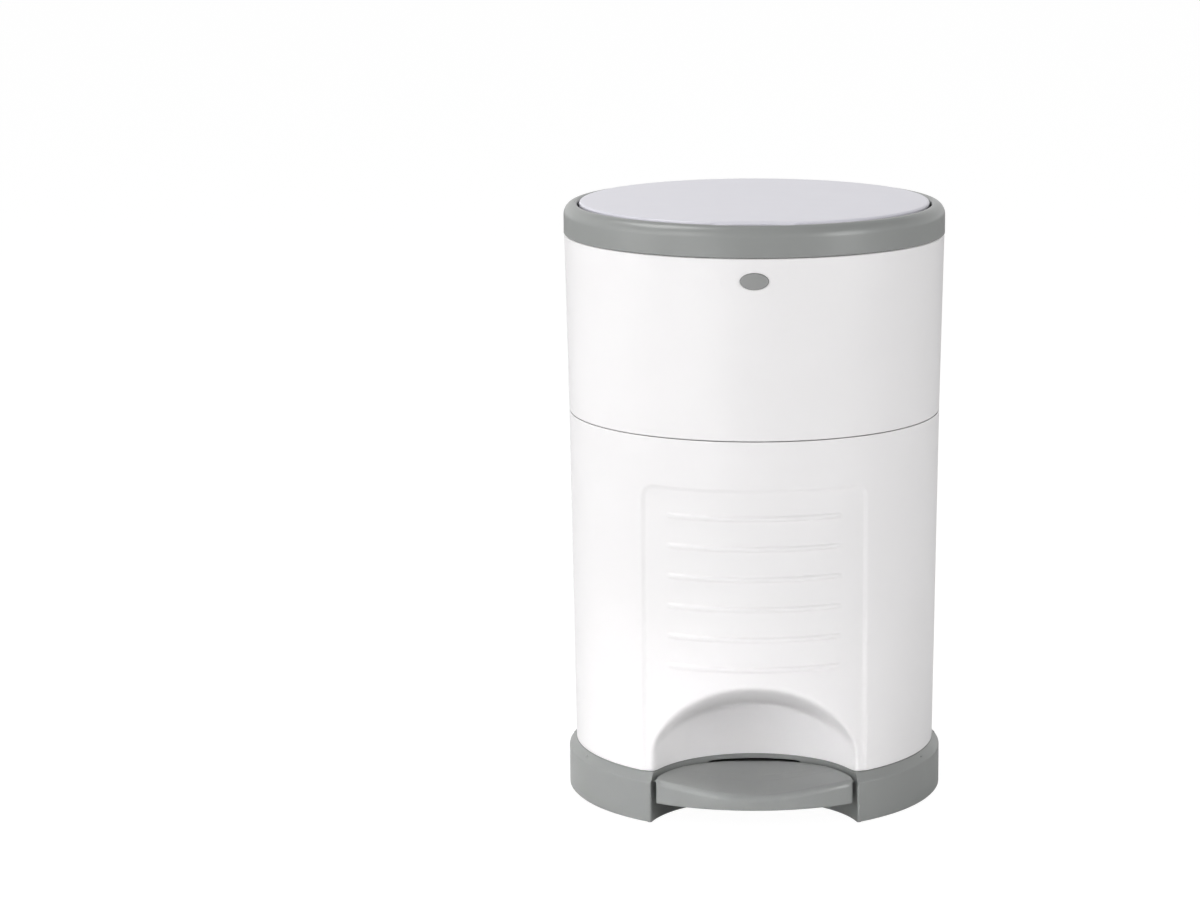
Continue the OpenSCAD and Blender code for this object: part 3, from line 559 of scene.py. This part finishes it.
# The sunk panel: 1.5 mm deep, its sides and top sloping over 3.2 mm, its corners rounded
panel_half, panel_top, corner = 0.0818, 0.2520, 0.010
x = radius * np.sin(azimuth)
dx = np.maximum(np.abs(x) - (panel_half - corner), 0)
dz = np.maximum(z - (panel_top - corner), 0)
inside = np.where((dx > 0) & (dz > 0), corner - np.hypot(dx, dz),
                  np.minimum(corner - np.hypot(dx, dz),
                             np.minimum(panel_half - np.abs(x), panel_top - z)))
sunk = ease(inside / 0.0032) * (np.abs(azimuth) < 1)
relief = -0.0015 * sunk
# The ribs, 1.3 mm high, which run out to nothing at their ends
for height in rib_heights:
    body = ease((0.0021 - np.abs(z - height)) / 0.0012)
    relief += 0.0013 * body * ease((0.0640 - np.abs(x)) / 0.005) * sunk
# The top edge is rounded over
relief -= 0.0006 * (1 - np.sqrt(1 - np.clip((z - door_top + 0.0008) / 0.0008, 0, 1) ** 2))
radius = radius + relief
x, y = radius * np.sin(azimuth), -radius * np.cos(azimuth)
# The toe recess: a round-headed roof that falls towards the back, and an upright curved
# back wall; where they meet the front and each other the surface rolls over
arch_half, arch_foot, arch_rise, slope = 0.0736, 0.0014, 0.0497, math.radians(20.3)
dish_y, dish_radius = -0.138, 0.078
reach = np.abs(x) / arch_half
crown = np.where(reach < 1, arch_foot + arch_rise * np.sqrt(np.clip(1 - reach ** 2, 0, 1)),
                 arch_foot - (reach - 1) * 0.7)
roof = (crown - z * math.cos(slope)) / math.sin(slope)
back = (dish_y + np.sqrt(np.clip(dish_radius ** 2 - x ** 2, 0, 1))
        - 3 * np.clip(np.abs(x) - dish_radius, 0, 1))
blend = 0.008
recess = (np.minimum(roof, back)
          - np.maximum(blend - np.abs(roof - back), 0) ** 2 / (4 * blend))
# A steeper part of the recess rolls over along a longer way in depth
roof_tilt = 2.7 ** 2 + (0.675 * reach / np.sqrt(np.clip(1 - reach ** 2, 0.01, 1)) / 0.347) ** 2
back_tilt = x ** 2 / np.clip(dish_radius ** 2 - x ** 2, 0.0004, 1)
tilt = np.sqrt(1 + np.where(roof < back, roof_tilt, back_tilt))
blend = 0.0035 * np.minimum(tilt, 6)
y = np.maximum(y, recess) + np.maximum(blend - np.abs(y - recess), 0) ** 2 / (4 * blend)
# Evening out the grid round the recess rounds its edges a little more
order = np.empty((len(rows), columns), int)
order[row, column] = np.arange(len(row))
grid = np.column_stack([x, y, z])[order]
near = ease((0.118 - grid[:, :, 2]) / 0.006) * ease((0.0835 - np.abs(grid[:, :, 0])) / 0.004)
for turn in range(10):
    middle = grid.copy()
    middle[1:-1, 1:-1] = (grid[:-2, 1:-1] + grid[2:, 1:-1]
                          + grid[1:-1, :-2] + grid[1:-1, 2:]) / 4
    middle[0, 1:-1] = (grid[0, :-2] + grid[0, 2:]) / 2
    grid += 0.5 * near[:, :, None] * (middle - grid)
found = np.empty((len(row), 3))
found[order] = grid
walled(door, found, (len(rows) - 20) * (columns - 1) + columns // 2, (0, -1, 0), 0.0012)
# The flange inside the top edge, and the two knuckles with their webs
flange = turned("flange", [(0.1260, 0.2835), (0.1352, 0.2835), (0.1352, 0.2858),
                           (0.1260, 0.2858)], 160.35, 201.3, 150)
hinge_turn, hinge_radius, knuckle_half = math.radians(160), 0.137, 0.007
hinge = Vector((math.cos(hinge_turn), math.sin(hinge_turn), 0)) * hinge_radius
fittings = [flange]
for height in (0.075, 0.245):
    fittings.append(tube("knuckle", 0.0042, 0.0016, height - knuckle_half,
                         height + knuckle_half, hinge))
    bpy.ops.mesh.primitive_cube_add(size=1)
    web = bpy.context.object
    web.data.transform(Matrix.Rotation(hinge_turn, 4, "Z")
                       @ Matrix.Translation((0.1350, 0.0052, height))
                       @ Matrix.Diagonal((0.0030, 0.0072, 2 * knuckle_half, 1)))
    fittings.append(web)
door = joined([door] + fittings, "door_moulding")
settle(door, "front_door", "door", white_abs, 65)

# ---- Pedal ----------------------------------------------------------------------------
# A dished foot plate, lowest in the middle of its front edge. Its front edge rolls over,
# widely in the middle and tighter at the sides, and two faint beads cross the top.
stations = np.array(mirrored(steps((0, 0.060, 0.0020), (0.060, 0.0684, 0.0010),
                                   (0.0684, 0.0712, 0.00028))))
aside = np.abs(stations)
corner_radius, end_radius = 0.002, 0.0012
turn_in = np.clip(aside - 0.0692, 0, corner_radius)
corner = corner_radius - np.sqrt(corner_radius ** 2 - turn_in ** 2)
front = -np.sqrt(0.139 ** 2 - stations ** 2) + corner
back = -0.138 + np.sqrt(0.0745 ** 2 - stations ** 2) - corner
room = back - front
lip = 0.0268 + 0.0058 * ease(aside / 0.068)
heel_lift = 0.0327 + 0.0020 * ease(aside / 0.066)
roll = np.minimum(0.0052, 0.4 * room)
heel = np.minimum(0.0010, 0.3 * room)
past_end = np.clip(aside - 0.0700, 0, end_radius)
ends = end_radius - np.sqrt(end_radius ** 2 - past_end ** 2)


def foot_plate(y):
    """The height of the dished top with its two beads, at the given depths."""
    depth = y - front
    z = lip + (heel_lift - lip) * np.clip(depth / room, 0, 1) ** 0.9 - ends
    for bead in (0.033, 0.0435):
        fade = ease(aside / 0.016) * ease((0.064 - aside) / 0.012)
        z = z + 0.00035 * fade * ease(1 - np.abs(depth - bead) / 0.0016)
    return z


# From the lower front edge over the top to the lower back edge; the lower edges turn in
top_rows, level, wall_z = 44, np.ones(len(stations)), 0.0167
hem = ((0.0005, 0.0162), (0.00015, 0.01635), (0, wall_z))
outside = [(front + inset, level * z) for inset, z in hem]
edge_z = foot_plate(front + roll)
outside += [(front, wall_z + (edge_z - roll - wall_z) * k / 3) for k in (1, 2)]
outside += [(front + roll * (1 - math.cos(a)), edge_z - roll * (1 - math.sin(a)))
            for a in np.linspace(0, math.pi / 2, 12)]
for k in range(1, top_rows + 1):
    y = front + roll + (room - roll - heel) * k / top_rows
    outside.append((y, foot_plate(y)))
heel_z = outside[-1][1]
outside += [(back - heel * (1 - math.sin(a)), heel_z - heel * (1 - math.cos(a)))
            for a in np.linspace(math.pi / 10, math.pi / 2, 5)]
outside += [(back, wall_z + (heel_z - heel - wall_z) / 2)]
outside += [(back - inset, level * z) for inset, z in reversed(hem)]
pedal, column, row = sheet("pedal_moulding", len(stations), len(outside))
across_y = np.array([y for y, z in outside])
across_z = np.array([z for y, z in outside])
walled(pedal, np.column_stack([stations[column], across_y[row, column], across_z[row, column]]),
       (len(outside) // 2) * (len(stations) - 1) + len(stations) // 2, (0, 0, 1), 0.0024)

pieces = [pedal]
for x, low_y, high_y in ((-0.050, -0.1130, -0.0860), (0, -0.1360, -0.0680),
                         (0.050, -0.1130, -0.0860)):
    pieces.append(block("rib", (x - 0.001, low_y, 0.0180), (x + 0.001, high_y, 0.0240)))
pieces.append(block("heel_block", (-0.0315, -0.0720, 0.0181), (0.0315, -0.0400, 0.0300),
                    0.0006))
pedal = joined(pieces, "pedal_moulding")
settle(pedal, "pedal", "pedal_lever_set", grey_abs, 50)
